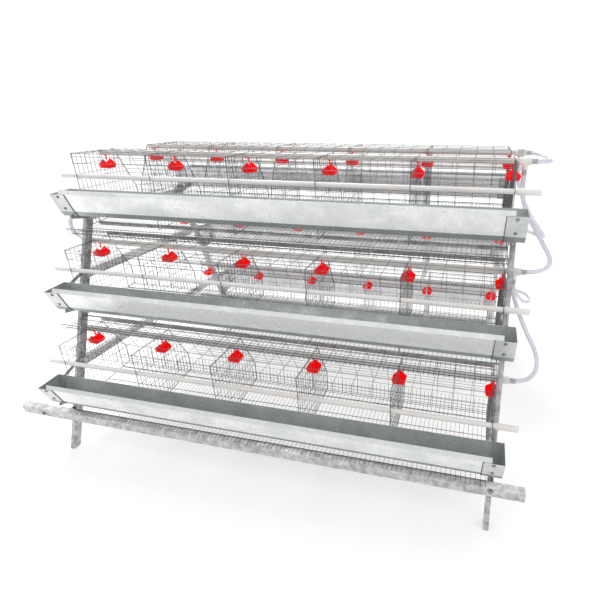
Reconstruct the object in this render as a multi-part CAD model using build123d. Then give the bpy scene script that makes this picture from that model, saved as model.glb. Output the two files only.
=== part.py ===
from build123d import *
from math import radians, tan
import os

# Cage rows: five cells a row, three tiers a side, each lower tier further out
cell_pitch = 390.0
cell_count = 5
top_front = 390.0        # front of the top tier, out from the middle plane
top_height = 1360.0      # top net of the top tier above the floor
tier_step = 164.0        # how far each lower tier stands out
tier_drop = 409.0
tier_names = ["top", "middle", "bottom"]
side_names = ["front", "rear"]

# Cage section, measured back and down from the upper front corner of a row
cage_depth = 375.0
ridge_depth = 265.0      # where the top net turns down
bend_drop = 204.0        # where the sloping back turns upright
rear_drop = 303.0        # back edge of the floor
floor_fall = 0.097       # fall of the floor to the front, for the eggs
lip_drop = 45.0
tray_reach = 112.0       # egg tray in front of the cage
tray_lip = 29.0
tray_lean = 8.0
bottom_reach = 50.0      # the bottom tray ends on the base beam

# Welded wire of three sides, the flat one against the crossing wire
wire_width = 3.0
wire_rise = 2.6
net_spaces = 3           # spaces a cell across the nets
top_wires = [20.0, 110.0, 250.0]
slope_wires = [0.15, 0.55]
back_wires = [245.0]
lip_wires = [43.0]
floor_wires = [366.0, 262.0, 160.0, 65.0, -20.0]
tray_wire = -95.0
partition_wires = [178.5, 229.5]

# Feed trough of folded sheet, with a sleeve and end wall at each end
sheet = 1.2
fold_gap = 0.1
trough_line = [(-5, -160), (-30, -270), (-66, -270), (-80, -248), (-114, -166), (-106, -149)]
trough_half = 981.0
cap_end = 1026.0
cap_length = 75.0

# Tubes and hoses are prisms of several sides
tube_sides = 8
hose_sides = 4

# Neck rail, a loose tube behind the front wires of the partitions, with a socket at one end
rail_radius = 10.0
rail_wall = 1.8
rail_depth = 16.5
rail_drop = 103.0
rail_half = 1070.0
rail_play = 0.3
rail_socket_radius = 12.8
rail_socket_start = 981.0

# Drinking line under the top net
pipe_radius = 12.5
pipe_depth = 204.0
pipe_left = -1000.0
pipe_drop = 13.4         # centre of the line below the top net, just clear of its wires
socket_radius = 16.0
stub_radius = 12.0
stub_drop = 32.0
cup_length = 54.0        # along the row, half of it in each cell
cup_foot = 42.0
cup_width = 48.0
cup_wall = 2.0
cup_base = 88.0          # underside of a cup below the top net
cup_shoulder = 19.0      # height of the two ends over the underside
cup_peak = 44.0          # height of the front and rear walls at the partition
nipple_width = 9.0
nipple_length = 21.0
bore_width = 3.2
bore_depth = 11.0
pin_width = 2.4
pin_length = 14.0
pin_inside = 7.0
hose_radius = 9.0

# Frame of folded channel, with sloping legs in two ends
plate = 2.5
leg_foot = 774.0         # leg centre on the floor, out from the middle plane
leg_lean = 0.39          # run in for each rise
leg_width = 43.0         # across the leg, level
leg_height = 1095.0
frame_inside = 984.0     # inner face of the leg webs
frame_outside = 1004.0
foot_hole = 9.0
foot_hole_height = 22.0
tie_height = 40.0
tie_drop = 130.0         # upper edge of a tie below the top net of its tier
top_tie_drop = 274.0
tie_cope = 4.0
beam_front = 772.0
beam_flange = 37.0
beam_height = 40.0
beam_left = 1254.0       # how far the beams reach out from the middle of the rows
beam_right = 1124.0
cleat_reach = 40.0
cleat_tail = [(-700, 194), (-716, 132), (-734.7, 132)]
floor_rail = 16.0
front_rail_depth = 73.0  # under the top tier
front_rod_depth = 20.0   # under the middle tier, while the bottom one lies on the beam
rod_radius = 3.0
rear_rod_depth = 325.0
strap_width = 5.0
strap_gap = 2.5
bracket_line = [(-78, 0), (-14, 0), (24, 16), (58, 16), (58, -29), (24, -34), (-78, -13)]
stay_place = 993.0
stay_at_leg = [-150.0, -128.0]
stay_at_trough = [-160.0, -178.0]

row_half = cell_pitch * cell_count / 2
net_pitch = cell_pitch / net_spaces
across = [-row_half + net_pitch * i for i in range(cell_count * net_spaces + 1)]
partition_places = [-row_half + cell_pitch * i for i in range(cell_count + 1)]
wire_end = wire_width / 2 + 1.5
slope_run = Vector(0, cage_depth - ridge_depth, -bend_drop).normalized()
slope_out = Vector(0, -slope_run.Z, slope_run.Y)
slope_pitch = bend_drop / (cage_depth - ridge_depth)
floor_up = Vector(0, -floor_fall, 1).normalized()
trough_floor = min(z for y, z in trough_line)
up, back, right = Vector(0, 0, 1), Vector(0, 1, 0), Vector(1, 0, 0)


def row_front(tier):
    return -(top_front + tier * tier_step)


def row_top(tier):
    return top_height - tier * tier_drop


def floor_level(depth):
    return -rear_drop - floor_fall * (cage_depth - depth)


def leg_line(height):
    return -leg_foot + leg_lean * height


def wire(start, end, side):
    # One straight wire: its flat face runs from start to end, its ridge stands out to the side
    run = Vector(*end) - Vector(*start)
    seat = Plane(origin=start, x_dir=side.cross(run), z_dir=run)
    section = Polygon((-wire_width / 2, 0), (wire_width / 2, 0), (0, wire_rise), align=None)
    return extrude(seat * section, amount=run.length).solid()


def cross_wire(depth, level, side):
    return wire((-row_half - wire_end, depth, level), (row_half + wire_end, depth, level), side)


def repeat(shapes, places):
    return [shape.moved(Pos(x, 0, 0)) for x in places for shape in shapes]


def shifted(points, amount):
    # The open line moved to its left, with the corners kept sharp
    runs = [Vector(*b) - Vector(*a) for a, b in zip(points, points[1:])]
    lefts = [Vector(-run.Y, run.X).normalized() for run in runs]
    moved = [Vector(*points[0]) + lefts[0] * amount]
    for point, before, after in zip(points[1:-1], lefts, lefts[1:]):
        moved.append(Vector(*point) + (before + after) * (amount / (1 + before.dot(after))))
    moved.append(Vector(*points[-1]) + lefts[-1] * amount)
    return [(p.X, p.Y) for p in moved]


def folded(points, thickness):
    return Polygon(*points, *reversed(shifted(points, thickness)), align=None)


def tube(radius, sides=tube_sides):
    # Section with a flat side below, as a seat for what hangs there
    return RegularPolygon(radius, sides, major_radius=False, rotation=270 + 180 / sides)


def along_row(section, start, end):
    return extrude(Plane.YZ.offset(start) * section, amount=end - start, dir=(1, 0, 0)).solid()


def block(x, y, z):
    corner = (min(x), min(y), min(z))
    size = [max(span) - min(span) for span in (x, y, z)]
    return Pos(*corner) * Box(*size, align=(Align.MIN, Align.MIN, Align.MIN))


def placed(shapes, side, tier):
    spot = Pos(0, row_front(tier), row_top(tier))
    turn = Rot(0, 0, 180) if side == "rear" else Rot(0, 0, 0)
    return [shape.moved(turn * spot) for shape in shapes]


def save(name, shapes):
    # The origin is halfway along the base beams, which stand out further at the left
    spot = Pos((beam_left - beam_right) / 2, 0, 0)
    solids = [solid.moved(spot) for shape in shapes for solid in shape.solids()]
    export_step(Compound(children=solids), f"parts/{name}.step")


os.makedirs("parts", exist_ok=True)
rows = [(side, tier) for side in side_names for tier in range(len(tier_names))]

# Top net of a row: front lip, level top, sloping back and upright back
bend = (0, cage_depth, -bend_drop)
top_net = repeat([
    wire((0, 0, 0), (0, ridge_depth, 0), up),
    wire((0, ridge_depth, 0), bend, slope_out),
    wire(bend, (0, cage_depth, -rear_drop - wire_end), back),
], across)
top_net += [cross_wire(depth, 0, up * -1) for depth in top_wires]
for share in slope_wires:
    depth = ridge_depth + share * (cage_depth - ridge_depth)
    top_net.append(cross_wire(depth, -share * bend_drop, slope_out * -1))
top_net += [cross_wire(cage_depth, -drop, back * -1) for drop in back_wires]
top_net += [cross_wire(0, -drop, back) for drop in lip_wires]
top_net += repeat([wire((0, 0, 0), (0, 0, -lip_drop), back * -1)], across[::2])


def floor_net(reach, lipped):
    # Sloping floor that runs out under the front into the egg tray
    front = (0, -reach, floor_level(-reach))
    net = repeat([wire((0, cage_depth, floor_level(cage_depth)), front, floor_up)], across)
    net += [cross_wire(depth, floor_level(depth), floor_up * -1) for depth in floor_wires]
    if lipped:
        tip = (0, -reach - tray_lean, floor_level(-reach) + tray_lip)
        lip_out = (Vector(*tip) - Vector(*front)).cross(right).normalized()
        net += repeat([wire(front, tip, lip_out)], across[::2])
        net.append(cross_wire(tray_wire, floor_level(tray_wire), floor_up * -1))
        net.append(cross_wire(tip[1] + tray_lean / 4, tip[2] - tray_lip / 4, lip_out * -1))
    return net


def partition():
    # Frame and level wires on one face of the partition's plane, upright wires on the other.
    # The frame is open at the top between the two uprights that the drinking line passes
    inset = wire_rise + wire_width / 2
    ridge = ridge_depth - inset * (slope_out.Y - (1 - slope_out.Z) / slope_pitch)
    slope_at = lambda level: ridge + (-inset - level) / slope_pitch
    floor_at = lambda depth: floor_level(depth) + inset / floor_up.Z
    rear = cage_depth - inset
    reach = wire_width / 2
    levels = [-rail_drop - rail_radius - rail_play - reach]
    flat = [((0, inset - reach, -inset), (0, partition_wires[0] + reach, -inset)),
            ((0, partition_wires[1] - reach, -inset), (0, ridge, -inset))]
    flat.append(((0, ridge + reach * slope_run.Y, -inset + 2 * reach * slope_run.Z),
                 (0, rear, -inset - (rear - ridge) * slope_pitch)))
    flat.append(((0, rear, floor_at(rear)), (0, inset - reach, floor_at(inset))))
    flat += [((0, inset - reach, level), (0, min(slope_at(level), rear), level)) for level in levels]
    upright = [((0, inset, -inset + reach), (0, inset, floor_at(inset)))]
    for depth in partition_wires:
        top = -inset - max(0, depth - ridge) * slope_pitch
        upright.append(((0, depth, top), (0, depth, floor_at(depth))))
    upright.append(((0, rear, -bend_drop), (0, rear, floor_at(rear))))
    return [wire(a, b, right) for a, b in flat] + [wire(a, b, right * -1) for a, b in upright]


partitions = repeat(partition(), partition_places)
tray_nets = [floor_net(tray_reach, True), floor_net(tray_reach, True), floor_net(bottom_reach, False)]

# Feed trough and its two ends
trough = along_row(folded(trough_line, -sheet), -trough_half, trough_half)
sleeve_line = shifted(trough_line[:-1], fold_gap)
end_line = shifted(trough_line[:-1], fold_gap + sheet)
end_wall = along_row(Polygon(*end_line, align=None), cap_end, cap_end + sheet)
sleeve = along_row(folded(sleeve_line, sheet), cap_end - cap_length, cap_end)
cap = end_wall + sleeve
caps = [cap.solid(), mirror(cap, about=Plane.YZ).solid()]

# Loose neck rail and its socket
rail_spot = Pos(rail_depth, -rail_drop)
rail_section = tube(rail_radius) - tube(rail_radius - rail_wall)
rail_socket = tube(rail_socket_radius) - tube(rail_radius)
neck_rail = [along_row(rail_spot * rail_section, -rail_half, rail_half),
             along_row(rail_spot * rail_socket, rail_socket_start, rail_half)]

# Cup astride the partition with two gabled walls, nipple with its bore and the pin that hangs in it
side_foot, side_end = cup_foot / 2, cup_length / 2
outline = [(side_foot, 0), (side_end, cup_shoulder), (0, cup_peak), (-side_end, cup_shoulder), (-side_foot, 0)]
floor_half = side_foot - cup_wall
mouth = floor_half + (cup_peak - cup_wall) * (side_end - side_foot) / cup_shoulder
hollow = [(floor_half, cup_wall), (mouth, cup_peak), (-mouth, cup_peak), (-floor_half, cup_wall)]
cup = extrude(Plane.XZ * Polygon(*outline, align=None), amount=cup_width / 2, both=True)
cup -= extrude(Plane.XZ * Polygon(*hollow, align=None), amount=cup_width / 2 - cup_wall, both=True)
cup = Pos(0, pipe_depth, -cup_base) * cup
nipple_top = -pipe_drop - pipe_radius
nipple_foot = nipple_top - nipple_length
nipple = block((-nipple_width / 2, nipple_width / 2), (-nipple_width / 2, nipple_width / 2), (nipple_foot, nipple_top))
nipple -= block((-bore_width / 2, bore_width / 2), (-bore_width / 2, bore_width / 2), (nipple_foot, nipple_foot + bore_depth))
pin_top = nipple_foot + pin_inside
pin = block((-pin_width / 2, pin_width / 2), (-pin_width / 2, pin_width / 2), (pin_top - pin_length, pin_top))
cups = repeat([cup.solid()], partition_places)
nipples = repeat([(Pos(0, pipe_depth, 0) * nipple).solid()], partition_places)
pins = repeat([(Pos(0, pipe_depth, 0) * pin).solid()], partition_places)

for side, tier in rows:
    row = f"{side}_{tier_names[tier]}"
    save(f"top_net_{row}", placed(top_net, side, tier))
    save(f"floor_net_{row}", placed(tray_nets[tier], side, tier))
    save(f"partitions_{row}", placed(partitions, side, tier))
    save(f"trough_{row}", placed([trough], side, tier))
    save(f"neck_rail_{row}", placed(neck_rail, side, tier))
    save(f"valve_pins_{row}", placed(pins, side, tier))

save("trough_end_caps", [s for side, tier in rows for s in placed(caps, side, tier)])
save("drinker_cups", [s for side, tier in rows for s in placed(cups, side, tier)])
save("nipples", [s for side, tier in rows for s in placed(nipples, side, tier)])

# Legs, open to the outside, with a hole for an anchor at the foot
leg_section = folded([
    (frame_outside, leg_line(0) - leg_width / 2),
    (frame_inside, leg_line(0) - leg_width / 2),
    (frame_inside, leg_line(0) + leg_width / 2),
    (frame_outside, leg_line(0) + leg_width / 2),
], -plate)
leg_run = Vector(0, leg_lean, 1)
leg = extrude(leg_section, amount=leg_run.length * leg_height, dir=leg_run)
anchor = Pos(frame_inside, leg_line(foot_hole_height), foot_hole_height) * Rot(0, 90, 0)
leg -= anchor * Cylinder(foot_hole / 2, 6 * plate)
left_leg = mirror(leg, about=Plane.YZ)
save("leg_front_right", [leg])
save("leg_front_left", [left_leg])
save("leg_rear_right", [mirror(leg, about=Plane.XZ)])
save("leg_rear_left", [mirror(left_leg, about=Plane.XZ)])


def tie(level, face):
    # Channel across an end frame, its flanges cut back so that the web laps on both legs
    lap = -leg_line(level) + leg_width / 3
    clear = -leg_line(level) - leg_width / 2 - tie_cope
    web = block((face - plate, face), (-lap, lap), (level - tie_height, level))
    upper = block((face - plate, frame_outside), (-clear, clear), (level - plate, level))
    lower = block((face - plate, frame_outside), (-clear, clear), (level - tie_height, level - tie_height + plate))
    return web + upper + lower


# The top tie lies over the plates of the trough brackets
lower_ties = [tie(row_top(tier) - tie_drop, frame_inside) for tier in (1, 2)]
top_tie = tie(row_top(0) - top_tie_drop, frame_inside - plate)
save("ties_right", lower_ties)
save("ties_left", [mirror(t, about=Plane.YZ) for t in lower_ties])
save("top_tie_right", [top_tie])
save("top_tie_left", [mirror(top_tie, about=Plane.YZ)])

# Base beams, each with an angle cleat to the outside of the two legs
beam_top = row_top(2) + floor_level(-beam_front - row_front(2))
beam_line = [
    (-beam_front + beam_flange, beam_top),
    (-beam_front, beam_top),
    (-beam_front, beam_top - beam_height),
    (-beam_front + beam_flange, beam_top - beam_height),
]
inside, low, high = plate - beam_front, beam_top - beam_height + plate, beam_top - plate
cleat_line = [(inside, low), (inside, high)] + cleat_tail + [(cleat_tail[-1][0], low)]
cleat = along_row(Polygon(*cleat_line, align=None), frame_outside, frame_outside + plate)
cleat += block((frame_outside, frame_outside + cleat_reach), (inside, inside + plate), (low, high))
beam = [along_row(folded(beam_line, plate), -beam_left, beam_right), cleat, mirror(cleat, about=Plane.YZ)]
save("beam_front", beam)
save("beam_rear", [mirror(shape, about=Plane.XZ) for shape in beam])


def angle_rail(depth, level, length):
    # Angle with its upper side at the level
    line = [(depth, level - floor_rail), (depth, level), (depth + floor_rail, level)]
    return along_row(folded(line, -plate), -length, length)


def rod(depth, length):
    # Thin rod along the row, just under the floor
    level = floor_level(depth - rod_radius * tan(radians(180 / tube_sides))) - rod_radius
    return along_row(Pos(depth, level) * tube(rod_radius), -length, length)


def strap(depth, low, high):
    # Narrow strip in the plane inside the lower ties, with its middle at the depth
    span = (depth - strap_width / 2, depth + strap_width / 2)
    right_strap = block((strap_inside, strap_inside + strap_gap), span, (low, high))
    return [right_strap.solid(), mirror(right_strap, about=Plane.YZ).solid()]


# Rail under the top floor, rods under the floors, and a rail along the ridge of each lower tier
strap_inside = frame_inside - plate - strap_gap
front_rail = angle_rail(front_rail_depth, floor_level(front_rail_depth), strap_inside)
front_rod = rod(front_rod_depth, frame_inside)
rear_rod = rod(rear_rod_depth, strap_inside)
ridge_rail = angle_rail(ridge_depth - plate, wire_rise + floor_rail, row_half + wire_end)
rail_foot = floor_level(front_rail_depth) - floor_rail
top_hangers = strap(front_rail_depth + strap_width / 2, rail_foot, -top_tie_drop - tie_height)
hangers = strap(rear_rod_depth, floor_level(rear_rod_depth) - rod_radius, -tie_drop)
seat = trough_floor - fold_gap - sheet
bracket = along_row(Polygon(*[(y, z + seat) for y, z in bracket_line], align=None), frame_inside - plate, frame_inside)
brackets = [bracket, mirror(bracket, about=Plane.YZ).solid()]


def stay(tier):
    # Flat strip from the front of a leg down to the back of the trough's sleeve
    leg_face = lambda z: leg_line(z + row_top(tier)) - leg_width / 2 - row_front(tier)
    (top_y, top_z), (low_y, low_z) = end_line[:2]
    back_at = lambda z: top_y + (z - top_z) * (low_y - top_y) / (low_z - top_z)
    line = [(leg_face(z), z) for z in stay_at_leg] + [(back_at(z), z) for z in stay_at_trough]
    strip = along_row(Polygon(*line, align=None), stay_place, stay_place + plate)
    return [strip, mirror(strip, about=Plane.YZ).solid()]


row_rails = [[front_rail, rear_rod], [front_rod, ridge_rail, rear_rod], [ridge_rail, rear_rod]]
rails, hung, holders = [], [], []
for side, tier in rows:
    rails += placed(row_rails[tier], side, tier)
    hung += placed(hangers if tier else top_hangers, side, tier)
    holders += placed(brackets + stay(tier) if tier else brackets, side, tier)
save("floor_rails", rails)
save("hanger_straps", hung)
save("trough_brackets", holders)

# Drinking lines, their sockets at the right and the hoses that join them
pipe_front = [row_front(tier) + pipe_depth for tier in range(3)]
pipe_level = [row_top(tier) - pipe_drop for tier in range(3)]
socket_start = {("front", 0): 992.0, ("rear", 0): 998.0, ("front", 1): 990.0, ("rear", 1): 990.0,
                ("front", 2): 1010.0, ("rear", 2): 1010.0}
socket_length = [48.0, 48.0, 26.0]
stub_place = 24.0        # middle of the stub after the start of its socket, clear of the last cup
inlet_length = 24.0
inlet_spot = Vector(-frame_inside - plate, leg_line(1078.0), 1078.0)
coupling_length = 50.0
pipes, fittings = [], []
for side, tier in rows:
    sign = 1 if side == "front" else -1
    axis = Pos(sign * pipe_front[tier], pipe_level[tier])
    start = socket_start[side, tier]
    pipes.append(along_row(axis * tube(pipe_radius), pipe_left, start))
    socket = along_row(axis * tube(socket_radius), start, start + socket_length[tier])
    if tier < 2:
        stub_foot = (start + stub_place, sign * pipe_front[tier], pipe_level[tier] - stub_drop)
        socket += Pos(*stub_foot) * extrude(tube(stub_radius), amount=stub_drop, dir=(0, 0, 1))
    fittings.append(socket)
inlet_axis = Pos(pipe_front[1], pipe_level[1])
fittings.append(along_row(inlet_axis * tube(socket_radius), pipe_left - inlet_length, pipe_left))
coupling_axis = Pos(inlet_spot.Y, inlet_spot.Z)
fittings.append(along_row(coupling_axis * tube(stub_radius), inlet_spot.X - coupling_length, inlet_spot.X))
save("water_pipes", pipes)
save("water_fittings", fittings)


def hose(name, points):
    # Straight runs with an arc in each turn, as large as the shorter run beside it allows
    spots = [Vector(*p) for p in points]
    runs = [b - a for a, b in zip(spots, spots[1:])]
    radii = []
    for before, after in zip(runs, runs[1:]):
        half_turn = before.get_angle(after) / 2
        radii.append(0.45 * min(before.length, after.length) / tan(radians(half_turn)))
    path = FilletPolyline(*spots, radius=radii)
    section = tube(hose_radius, hose_sides)
    body = sweep(Plane(origin=path @ 0, z_dir=path % 0) * section, path=path)
    share = body.volume / (section.area * path.length)
    print(name, "length", round(path.length), "radii", [round(r) for r in radii], "volume share", round(share, 4))
    save(name, [body])


# Routes of the drops between tiers, from the foot of a stub and then from the end of the socket below
drops = {
    ("front", 0): ([(0, 0, 0), (0, 0, -52), (5, -60, -130)],
                   [(64, 22, 124), (118, 6, 42), (64, 0, 0), (0, 0, 0)]),
    ("front", 1): ([(0, 0, 0), (0, 0, -47), (25, -60, -106), (64, -108, -180)],
                   [(94, 22, 116), (96, 6, 44), (52, 0, 0), (0, 0, 0)]),
    ("rear", 0): ([(0, 0, 0), (0, 0, -52), (14, -12, -145), (98, -40, -290)],
                  [(162, 88, -8), (146, 12, -28), (74, 0, 0), (0, 0, 0)]),
    ("rear", 1): ([(0, 0, 0), (0, 0, -47), (16, -12, -136), (66, -28, -295)],
                  [(114, 112, -36), (172, 64, -38), (144, 6, -18), (72, 0, 0), (0, 0, 0)]),
}
for (side, tier), (from_head, from_foot) in drops.items():
    sign = 1 if side == "front" else -1
    head = Vector(socket_start[side, tier] + stub_place, pipe_front[tier], pipe_level[tier] - stub_drop)
    end_x = socket_start[side, tier + 1] + socket_length[tier + 1]
    foot = Vector(end_x, pipe_front[tier + 1], pipe_level[tier + 1])
    points = [head + Vector(*step) for step in from_head] + [foot + Vector(*step) for step in from_foot]
    hose(f"hose_{side}_{tier_names[tier]}", [(p.X, sign * p.Y, p.Z) for p in points])

# Bridge over the end from the front line to the rear one, and the inlet at the left
front_end = socket_start["front", 0] + socket_length[0]
rear_end = socket_start["rear", 0] + socket_length[0]
bridge_y, bridge_z = -pipe_front[0], pipe_level[0]
hose("hose_bridge", [
    (front_end, -bridge_y, bridge_z),
    (front_end + 56, -bridge_y, bridge_z),
    (front_end + 90, 94 - bridge_y, bridge_z - 4),
    (rear_end + 78, bridge_y - 96, bridge_z - 6),
    (rear_end + 52, bridge_y, bridge_z),
    (rear_end, bridge_y, bridge_z),
])

inlet_end = pipe_left - inlet_length
coupling_end = inlet_spot.X - coupling_length
hose("hose_inlet", [
    (inlet_end, pipe_front[1], pipe_level[1]),
    (inlet_end - 60, pipe_front[1], pipe_level[1]),
    (inlet_end - 102, pipe_front[1] - 8, pipe_level[1] + 72),
    (coupling_end - 55, inlet_spot.Y, inlet_spot.Z),
    (coupling_end, inlet_spot.Y, inlet_spot.Z),
])
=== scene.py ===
import bpy
import bmesh
from math import pi, radians
from mathutils import Matrix, Vector


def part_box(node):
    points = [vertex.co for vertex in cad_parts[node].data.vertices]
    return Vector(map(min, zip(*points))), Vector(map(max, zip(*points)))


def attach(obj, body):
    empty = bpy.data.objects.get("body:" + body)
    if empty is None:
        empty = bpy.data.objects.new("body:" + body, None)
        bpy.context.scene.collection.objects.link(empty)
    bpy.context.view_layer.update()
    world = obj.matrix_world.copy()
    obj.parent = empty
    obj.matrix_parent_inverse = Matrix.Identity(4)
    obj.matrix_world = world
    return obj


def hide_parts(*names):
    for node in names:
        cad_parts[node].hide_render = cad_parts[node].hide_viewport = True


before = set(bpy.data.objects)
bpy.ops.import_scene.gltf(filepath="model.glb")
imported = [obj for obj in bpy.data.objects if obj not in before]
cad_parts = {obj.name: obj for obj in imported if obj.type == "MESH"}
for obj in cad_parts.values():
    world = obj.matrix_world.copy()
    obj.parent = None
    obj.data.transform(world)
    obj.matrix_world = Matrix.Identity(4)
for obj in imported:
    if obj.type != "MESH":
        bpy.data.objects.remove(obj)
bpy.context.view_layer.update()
scene = bpy.context.scene
print("frame loaded:", len(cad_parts), "nodes")

sideNames = ["front", "rear"]
tierNames = ["top", "middle", "bottom"]
lowest = len(tierNames) - 1
rows = [(side, tier) for side in sideNames for tier in range(len(tierNames))]

cage = {
    "pitch": 0.390, "cells": 5, "depth": 0.375, "ridge": 0.265, "bend": -0.204, "rear": -0.303,
    "fall": 0.097, "overhang": 0.003,
    "seat": 0.0026,  # how far the CAD wires stand off their net's plane
}
leg = {"stance": 0.774, "lean": 0.39, "outside": 0.9865}
rowHalf = cage["pitch"] * cage["cells"] / 2
rowMiddle = sum(corner[0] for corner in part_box("top_net_front_top")) / 2
partitionPlaces = [-rowHalf + cage["pitch"] * i for i in range(cage["cells"] + 1)]


def rowName(side, tier):
    return side + "_" + tierNames[tier]


def rowMatrix(side, tier):
    low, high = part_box("top_net_" + rowName(side, tier))
    front = low[1] + cage["seat"] if side == "front" else -(high[1] - cage["seat"])
    turn = Matrix.Rotation(pi if side == "rear" else 0, 4, "Z")
    place = Matrix.Translation((0, front, high[2] - cage["seat"]))
    return Matrix.Translation((rowMiddle, 0, 0)) @ turn @ place


def floorLevel(depth):
    return cage["rear"] - cage["fall"] * (cage["depth"] - depth)


def leanAt(height):
    # How far a leg's middle stands out at a height
    return leg["stance"] - leg["lean"] * height


# Camera at the photograph's place

view = {"place": (rowMiddle + 0.8440, -2.1350, 1.5467), "down": 23.373, "turn": 13.735, "roll": 0.2,
        "lens": 26.774, "sensor": 36.0, "shift": -0.1125}
lens = bpy.data.cameras.new("camera")
lens.lens = view["lens"]
lens.sensor_width = view["sensor"]
lens.shift_x = view["shift"]
camera = bpy.data.objects.new("camera", lens)
camera.location = view["place"]
camera.rotation_euler = (radians(90 - view["down"]), radians(view["roll"]), radians(view["turn"]))
scene.collection.objects.link(camera)
scene.camera = camera
scene.view_settings.view_transform = "Standard"


# Finishes

white = (1, 1, 1, 1)
zinc = {"cloudDetail": 5.0, "cloudRough": 0.62, "grainDetail": 2.0, "grainRough": 0.6,
        "specks": (0.32, 0.55), "dullness": (0.35, 0.65), "relief": 0.0006}
plastic = {"driftDetail": 3.0, "grainDetail": 2.0, "spread": (0.3, 0.7), "depth": 0.004, "shine": 0.5,
           "relief": 0.0004}


def newFinish(name):
    finish = bpy.data.materials.new(name)
    finish.use_nodes = True
    tree = finish.node_tree
    return finish, tree, tree.nodes["Principled BSDF"]


def texture(tree, kind, scale, **values):
    node = tree.nodes.new(kind)
    where = tree.nodes.new("ShaderNodeTexCoord")
    tree.links.new(where.outputs["Object"], node.inputs["Vector"])
    node.inputs["Scale"].default_value = scale
    for key, value in values.items():
        node.inputs[key].default_value = value
    return node


def ramp(tree, source, stops):
    node = tree.nodes.new("ShaderNodeValToRGB")
    points = node.color_ramp.elements
    while len(points) < len(stops):
        points.new(0.5)
    for point, (place, shade) in zip(points, stops):
        point.position = place
        point.color = (*shade, 1) if isinstance(shade, tuple) else (shade, shade, shade, 1)
    tree.links.new(source, node.inputs["Fac"])
    return node.outputs["Color"]


def mixed(tree, kind, share, first, second):
    # The colours go in at sockets 6 and 7 and come out at 2
    node = tree.nodes.new("ShaderNodeMix")
    node.data_type = "RGBA"
    node.blend_type = kind
    node.inputs["Factor"].default_value = share
    tree.links.new(first, node.inputs[6])
    tree.links.new(second, node.inputs[7])
    return node.outputs[2]


def axes(tree, output):
    # The X, Y and Z of a place or direction
    where = tree.nodes.new("ShaderNodeTexCoord")
    split = tree.nodes.new("ShaderNodeSeparateXYZ")
    tree.links.new(where.outputs[output], split.inputs["Vector"])
    return split.outputs


def ranged(tree, source, span):
    # A value mapped from its span to 0 to 1
    node = tree.nodes.new("ShaderNodeMapRange")
    node.inputs["From Min"].default_value = span[0]
    node.inputs["From Max"].default_value = span[1]
    tree.links.new(source, node.inputs["Value"])
    return node.outputs["Result"]


def bumped(tree, shader, source, strength, distance):
    node = tree.nodes.new("ShaderNodeBump")
    node.inputs["Strength"].default_value = strength
    node.inputs["Distance"].default_value = distance
    tree.links.new(source, node.inputs["Height"])
    tree.links.new(node.outputs["Normal"], shader.inputs["Normal"])


def zincFinish(name, look):
    # Spangled zinc: cells of crystal, clouds of dull oxide and a fine grain
    finish, tree, shader = newFinish(name)
    cells = texture(tree, "ShaderNodeTexVoronoi", look["spangle"], Randomness=1.0)
    clouds = texture(tree, "ShaderNodeTexNoise", look["cloud"], Detail=zinc["cloudDetail"],
                     Roughness=zinc["cloudRough"])
    grain = texture(tree, "ShaderNodeTexNoise", look["grain"], Detail=zinc["grainDetail"],
                    Roughness=zinc["grainRough"])
    low, high = look["spread"]
    base = ramp(tree, clouds.outputs["Fac"], [(low, look["dark"]), (high, look["light"])])
    crystal = ramp(tree, cells.outputs["Color"], [(0.0, look["crystal"]), (1.0, 1.0)])
    low, high = zinc["specks"]
    speck = ramp(tree, grain.outputs["Fac"], [(low, look["speck"]), (high, 1.0)])
    shade = mixed(tree, "MULTIPLY", 1.0, mixed(tree, "MULTIPLY", 1.0, base, crystal), speck)
    # Where the look has a tilt ramp, it scales the colour: painted light and shade by which way a face
    # points
    if "shadeByTilt" in look:
        share = ranged(tree, axes(tree, "Normal")["Z"], (-1.0, 1.0))
        shade = mixed(tree, "MULTIPLY", 1.0, shade, ramp(tree, share, look["shadeByTilt"]))
    tree.links.new(shade, shader.inputs["Base Color"])
    low, high = zinc["dullness"]
    rough = ramp(tree, clouds.outputs["Fac"], [(low, look["rough"][1]), (high, look["rough"][0])])
    tree.links.new(rough, shader.inputs["Roughness"])
    shader.inputs["Metallic"].default_value = look["metal"]
    bumped(tree, shader, grain.outputs["Fac"], look["bump"], zinc["relief"])
    return finish


def plasticFinish(name, look):
    # Moulded or drawn plastic: slight drift of colour, fine drawing marks in the gloss
    finish, tree, shader = newFinish(name)
    drift = texture(tree, "ShaderNodeTexNoise", look["drift"], Detail=plastic["driftDetail"])
    grain = texture(tree, "ShaderNodeTexNoise", look["grain"], Detail=plastic["grainDetail"])
    low, high = plastic["spread"]
    colour = ramp(tree, drift.outputs["Fac"], [(low, look["dark"]), (high, look["light"])])
    gloss = ramp(tree, grain.outputs["Fac"], [(low, look["rough"][0]), (high, look["rough"][1])])
    tree.links.new(colour, shader.inputs["Base Color"])
    tree.links.new(gloss, shader.inputs["Roughness"])
    shader.inputs["Metallic"].default_value = 0.0
    shader.inputs["Subsurface Weight"].default_value = look.get("soft", 0.0)
    shader.inputs["Subsurface Scale"].default_value = plastic["depth"]
    shader.inputs["Transmission Weight"].default_value = look.get("clear", 0.0)
    shader.inputs["Specular IOR Level"].default_value = look.get("shine", plastic["shine"])
    shader.inputs["Emission Color"].default_value = (*look["light"], 1)
    shader.inputs["Emission Strength"].default_value = look.get("glow", 0.0)
    bumped(tree, shader, grain.outputs["Fac"], look["bump"], plastic["relief"])
    return finish
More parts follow.
